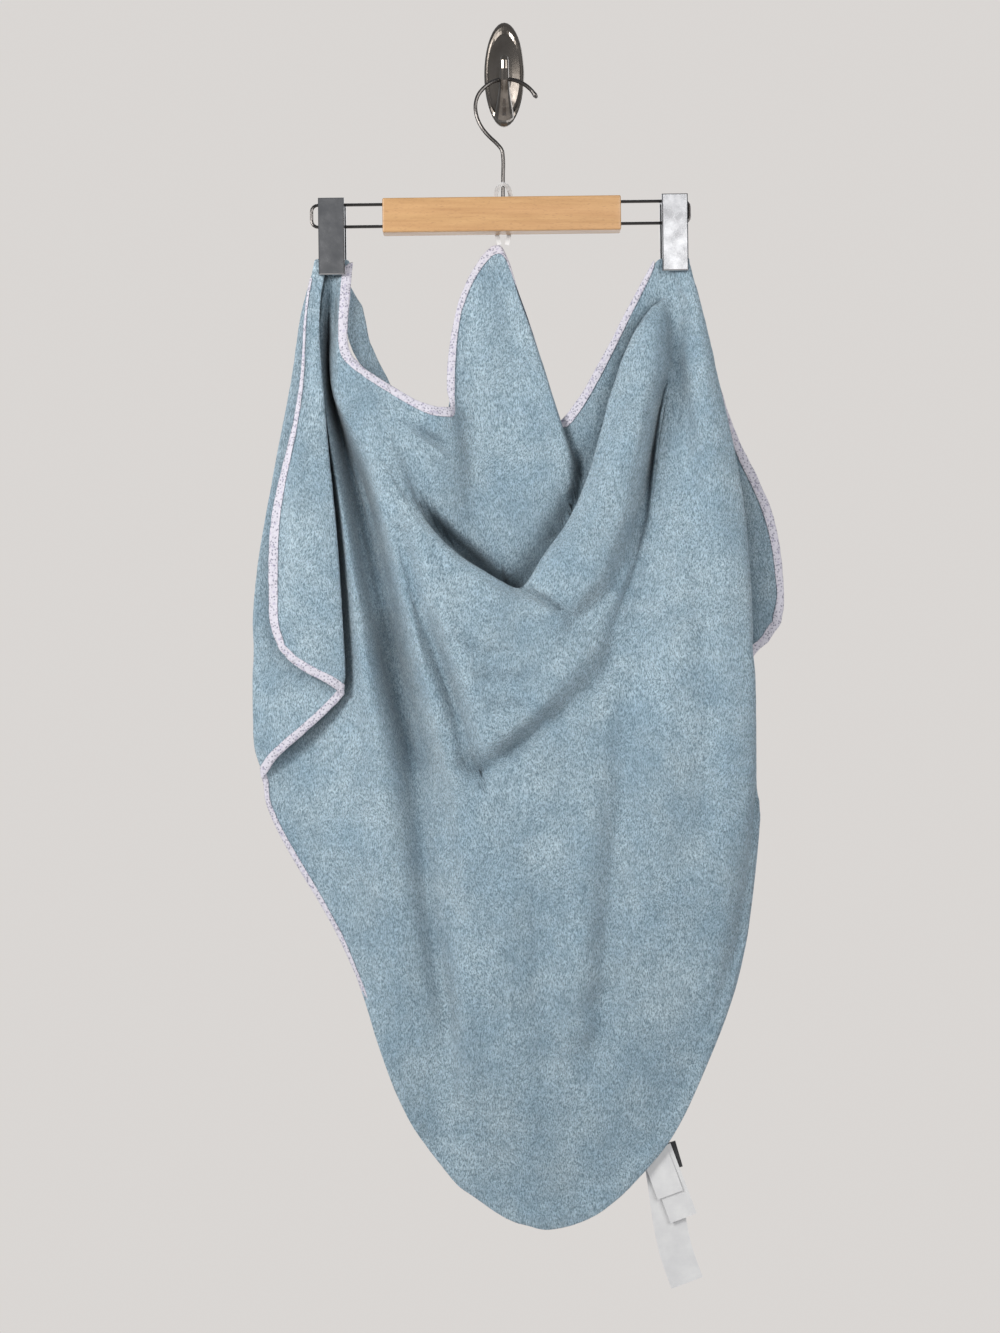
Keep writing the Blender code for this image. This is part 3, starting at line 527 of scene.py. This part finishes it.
# %% [markdown]
# ## The creases
# The big folds come with the solid. The smaller ones that the photograph shows are a table of lines. Each
# row has a half width, a height (below nothing for a trough), the least and the most distance out from the
# wall that it acts on, and its points. The two distances let a crease reach one layer of the cowl and leave
# the other alone.

# %% The creases
# name: half width, height, least out, most out, points (across, drop)
ANY = 99     # farther out than any of the cloth
CREASES = {
    "slit under the rim": (8, -20.0, 0, 47, ((-80, 418), (-58, 440), (-33, 462), (-8, 484), (12, 494))),
    "slit on the right": (7, -12.0, 0, 40, ((10, 490), (30, 462), (50, 436), (70, 402), (72, 366))),
    "lip over the middle": (4, -9.0, 48, ANY, ((12, 489), (33, 500), (48, 509), (60, 518))),
    "roll of the lip": (7, 5.0, 48, ANY, ((-6, 496), (20, 508), (44, 521), (64, 530))),
    "collar crease": (4, -8.0, 16, ANY, ((-84, 341), (-66, 352), (-48, 364))),
    "collar roll": (7, 4.0, 16, ANY, ((-84, 352), (-64, 364), (-44, 376))),
    "right roll crest": (13, 6.0, 40, ANY, ((146, 220), (112, 350), (78, 430), (40, 492))),
    "right of the roll": (10, -17.0, 40, ANY, ((150, 300), (136, 370), (123, 429), (99, 489), (63, 525))),
    "left of the second swag": (9, -12.0, 45, ANY, ((-96, 440), (-78, 510), (-48, 594), (-32, 656))),
    "left roll": (12, 7.0, 45, ANY, ((-84, 430), (-62, 500), (-32, 580), (-14, 640))),
    "outer left valley": (10, -8.0, 30, ANY, ((-138, 330), (-128, 440), (-108, 560), (-84, 650))),
    "toe of the second swag": (8, -11.0, 45, ANY, ((-38, 650), (-22, 660), (6, 640), (51, 604))),
    "toe roll": (11, 6.0, 45, ANY, ((-20, 630), (10, 616), (44, 584), (80, 545))),
    "right of the second swag": (10, -10.0, 45, ANY, ((51, 607), (88, 575), (112, 525), (130, 440))),
    "small press": (6, -5.5, 50, ANY, ((-30, 568), (0, 576), (33, 577))),
    "second press": (6, -5.0, 50, ANY, ((-14, 602), (10, 600), (34, 590))),
    "third press": (5, -4.5, 50, ANY, ((-46, 540), (-18, 548), (12, 546))),
    "under the left clip": (4, -3.0, 36, ANY, ((-165, 203), (-160, 228), (-154, 251))),
    "clip fan left": (5, -3.0, 36, ANY, ((-172, 205), (-178, 260), (-180, 330))),
    "left sheet": (12, -4.5, 45, ANY, ((-205, 330), (-206, 420), (-204, 500))),
    "left sheet ridge": (10, 3.5, 45, ANY, ((-195, 320), (-194, 430), (-192, 520))),
    "long valley": (10, -10.0, 14, ANY,
                    ((-112, 520), (-100, 600), (-86, 669), (-78, 740), (-70, 800), (-51, 908))),
    "beside the valley": (12, 5.5, 14, ANY, ((-88, 540), (-70, 640), (-56, 740), (-44, 850), (-30, 960))),
    "skirt ridge": (12, 3.5, 30, ANY, ((-10, 740), (0, 850), (8, 980))),
    "skirt trough": (14, -6.0, 30, ANY, ((28, 720), (36, 860), (44, 1000))),
    "right skirt trough": (13, -9.0, 30, ANY, ((124, 500), (112, 660), (100, 789), (84, 940))),
    "right skirt ridge": (14, 5.0, 30, ANY, ((84, 640), (74, 760), (66, 900))),
    "right roll trough": (11, -4.5, 40, ANY, ((172, 330), (184, 450), (190, 600), (180, 740))),
    "right edge ridge": (12, 3.0, 40, ANY, ((150, 480), (150, 620), (140, 760))),
    "lower press": (8, -5.0, 30, ANY, ((70, 880), (92, 866), (112, 842))),
    "lower press below": (8, -5.0, 30, ANY, ((52, 930), (76, 916), (98, 890))),
    "small hem fold": (7, -4.0, 30, ANY, ((-75, 993), (-62, 1004), (-50, 1016))),
    "toe press": (10, -3.0, 30, ANY, ((40, 1000), (60, 1030), (72, 1052))),
    "rim left": (6, 2.5, 40, ANY, ((-120, 372), (-80, 430), (-40, 474), (-4, 500))),
    "clip fan right": (5, -3.5, 36, ANY, ((158, 206), (158, 250), (164, 310))),
    "clip fan far right": (5, -3.0, 36, ANY, ((166, 206), (174, 260), (182, 330))),
    "peak fold": (7, -4.0, 16, ANY, ((-4, 190), (4, 240), (14, 300))),
    "peak fold left": (9, 2.5, 16, ANY, ((-22, 230), (-18, 300), (-12, 370))),
}
print(len(CREASES), "creases")

# %% [markdown]
# ## Pressing the creases in
# A point of the cloth near a line moves straight out by a bell-shaped share of the line's height, so both
# faces of the cloth move together and it keeps its thickness. The share fades towards the line's ends. A
# slow wave on top takes away the last flatness.

# %% Pressing the creases in
SLOW_WAVE = ((70, 1.5), (28, 0.8))     # size of a feature and how far it moves the cloth
WAVE_STRETCH = (1, 0.45, 0.2)          # the wave is longer down the cloth than across it
END_SHARE = 0.06                       # the part of a half wave left out at each end of a crease
LAYER_EDGE = 4                         # millimetres over which a layer's limit fades


def near_line(points, line):
    """How far each point is from a line of (across, drop) places, and how far along it that is, 0 to 1."""
    places = np.asarray(line, float)
    steps = np.diff(places, axis=0)
    lengths = np.linalg.norm(steps, axis=1)
    starts = np.concatenate([[0.0], np.cumsum(lengths)])
    best = np.full(len(points), np.inf)
    along = np.zeros(len(points))
    for start, step, length, run in zip(places, steps, lengths, starts):
        part = np.clip(((points[:, :2] - start) @ step) / length**2, 0, 1)
        away = np.linalg.norm(points[:, :2] - start - part[:, None] * step, axis=1)
        nearer = away < best
        best[nearer] = away[nearer]
        along[nearer] = ((run + part * length) / starts[-1])[nearer]
    return best, along


def press_creases(points):
    lift = np.zeros(len(points))
    for half_width, height, least_out, most_out, line in CREASES.values():
        away, along = near_line(points, line)
        ends = np.sin(math.pi * (END_SHARE + (1 - 2 * END_SHARE) * along)) ** 0.5
        above = np.clip((points[:, 2] - least_out) / LAYER_EDGE, 0, 1)
        below = np.clip((most_out - points[:, 2]) / LAYER_EDGE, 0, 1)
        lift += height * np.exp(-((away / half_width) ** 2)) * ends * above * below
    for scale, height in SLOW_WAVE:
        lift += height * noise_field(points * WAVE_STRETCH, scale)
    return points + lift[:, None] * (0, 0, 1)


print("creases and a slow wave of", len(SLOW_WAVE), "sizes")

# %% [markdown]
# ## Blunt corners and nap
# The corners of the real towel are rounder than the solid's, so the points near each are drawn in a little.
# The nap is fine noise along the surface's own normals, which breaks the clean outline as loops of yarn do.
# The corners of the tape round the towel are drawn in by the same rows, so that the two stay together.

# %% Blunt corners and nap
# across, drop, move across, move down, reach
BLUNT = ((257, 525, -7, -2, 17), (237, 549, -2, -4, 12), (-214, 549, 7, -3, 17), (-230, 665, 8, 0, 18),
         (-146, 585, -3, 0, 10))
NAP = ((7.0, 0.26), (3.2, 0.20))       # size of a feature and how far it moves the surface


def blunt_corners(points):
    for across, drop, move_across, move_down, reach in BLUNT:
        away = np.hypot(points[:, 0] - across, points[:, 1] - drop)
        points = points + np.exp(-((away / reach) ** 2))[:, None] * (move_across, move_down, 0)
    return points


def raise_nap(piece, heights, seed=0.0):
    """Push the surface out along its own normals by fine noise."""
    points = points_of(piece)
    lift = sum(height * noise_field(points, scale, seed) for scale, height in heights)
    put_points(piece, points + normals_of(piece) * lift[:, None])


print(len(BLUNT), "blunt corners")

# %% [markdown]
# ## The rolled hem
# On the right and round the toe, the towel's edge rolls under and no binding shows in front. Rolling the
# whole edge would also move the binding, so here the pile bulges a little over the tape's front leg, which
# hides it from the room and leaves it in place behind.

# %% The rolled hem
BULGE_REACH = 9                        # millimetres from the tape where the bulge starts
BULGE_RISE = 6                         # and over which it reaches its full size
BULGE_OUT = 3.0
BULGE_SIDE = 3.2
FACING_GAIN = 3                        # a face turned a third of the way to the room counts in full
HEM_MIDDLE = (0, 830)                  # the bulge goes away from here
RIGHT_START = 640                      # drops where it begins on each side
LEFT_START = 850
START_FADE = 60


def fade_in(drops, start):
    return np.clip((drops - start) / START_FADE, 0, 1)


def cover_tape(piece, tape_node):
    """Let the pile bulge over the front leg of the hem's tape, on the right side and round the toe."""
    points = points_of(piece)
    solid = bmesh.new()
    solid.from_mesh(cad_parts[tape_node].data)
    tape = BVHTree.FromBMesh(solid)
    solid.free()
    away = np.array([tape.find_nearest(place(*point))[3] for point in points]) / MM
    near = np.clip((BULGE_REACH - away) / BULGE_RISE, 0, 1)
    side = np.where(points[:, 0] > 0, fade_in(points[:, 1], RIGHT_START), fade_in(points[:, 1], LEFT_START))
    facing = np.clip(normals_of(piece)[:, 2] * FACING_GAIN, 0, 1)
    middle = points[:, :2] - HEM_MIDDLE
    outward = middle / np.linalg.norm(middle, axis=1)[:, None]
    points[:, 2] += BULGE_OUT * near * side * facing
    points[:, :2] += outward * (BULGE_SIDE * near * side)[:, None]
    put_points(piece, points)


print("hem bulge:", BULGE_OUT, "mm")

# %% [markdown]
# ## The towel panel
# The towel is one sheet from its left edge over the pleats, through the cowl and round the right roll. Its
# copy is rounded, its hem is rolled, its creases are pressed and its corners blunted, and the nap comes
# last, because it needs the final normals.

# %% The towel panel


def dress(piece, node):
    """Let a piece ride on the body and stand for its node, whose solid is hidden."""
    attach(piece, "root")
    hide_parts(node)
    print(piece.name, len(piece.data.polygons), "faces")


panel = rounded_copy("towel_panel", "towel_panel_cloth", terry)
cover_tape(panel, "binding_hem")
put_points(panel, blunt_corners(press_creases(points_of(panel))))
raise_nap(panel, NAP)
dress(panel, "towel_panel")

# %% [markdown]
# ## The hood
# The hood is a triangle of the same terry behind the peak, sewn on under the binding. It only shows inside
# the neck and from behind, so it gets the rounding and the nap, and no creases of its own. Its upper left
# end is moved a little to the left, behind the binding beside it.

# %% The hood
LEAF_SHIFT = 8.0
LEAF_ACROSS = -100                     # the end lies left of this and above the foot
LEAF_FADE = 12
LEAF_FOOT = 300
FOOT_FADE = 40
HOOD_SEED = 7.0


def shift_leaf(points):
    """Bring the hood's upper left end behind the binding beside it."""
    left = np.clip((LEAF_ACROSS - points[:, 0]) / LEAF_FADE, 0, 1)
    high = np.clip((LEAF_FOOT - points[:, 1]) / FOOT_FADE, 0, 1)
    return points - (LEAF_SHIFT, 0, 0) * (left * high)[:, None]


hood = rounded_copy("hood", "hood_cloth", terry)
put_points(hood, shift_leaf(points_of(hood)))
raise_nap(hood, NAP, HOOD_SEED)
dress(hood, "hood")

# %% [markdown]
# ## The binding
# A bias tape never lies quite flat: the stitching gathers it into small puckers every centimetre or so. The
# copy of the binding is rounded, follows the same creases and corners as the cloth under it, and swells and
# sinks a little along its length.

# %% The binding
PUCKERS = ((11.0, 0.60), (5.0, 0.32))
PUCKER_SEED = 3.0


def make_binding(node):
    piece = rounded_copy(node, f"{node}_tape", print_cotton)
    put_points(piece, blunt_corners(press_creases(points_of(piece))))
    raise_nap(piece, PUCKERS, PUCKER_SEED)
    dress(piece, node)
    return piece


neck_tape = make_binding("binding_neck")
hem_tape = make_binding("binding_hem")

# %% [markdown]
# ## What keeps its solid
# The labels, the loop, the hanger and the wall hook are rigid or thin enough that their solids have the
# right shape. They stay and get a finish in place of the plain colour.

# %% Finishes of the solids that stay
KEPT = {
    "label_short": white_tape, "label_mid": white_tape, "label_long": white_tape, "label_tab": black_tape,
    "hanging_loop": white_tape, "hanger_bar": beech, "hanger_hook": dark_steel,
    "hanger_wire_left": dark_steel, "hanger_wire_right": dark_steel,
    "clip_left_front": clip_steel, "clip_left_back": clip_steel, "clip_left_spring": dark_steel,
    "clip_right_front": clip_steel, "clip_right_back": clip_steel, "clip_right_spring": dark_steel,
    "wall_plate": nickel, "wall_prong": nickel,
}

for node, finish in KEPT.items():
    for material_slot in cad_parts[node].material_slots:
        material_slot.material = finish
print("kept", len(KEPT), "solids with a finish")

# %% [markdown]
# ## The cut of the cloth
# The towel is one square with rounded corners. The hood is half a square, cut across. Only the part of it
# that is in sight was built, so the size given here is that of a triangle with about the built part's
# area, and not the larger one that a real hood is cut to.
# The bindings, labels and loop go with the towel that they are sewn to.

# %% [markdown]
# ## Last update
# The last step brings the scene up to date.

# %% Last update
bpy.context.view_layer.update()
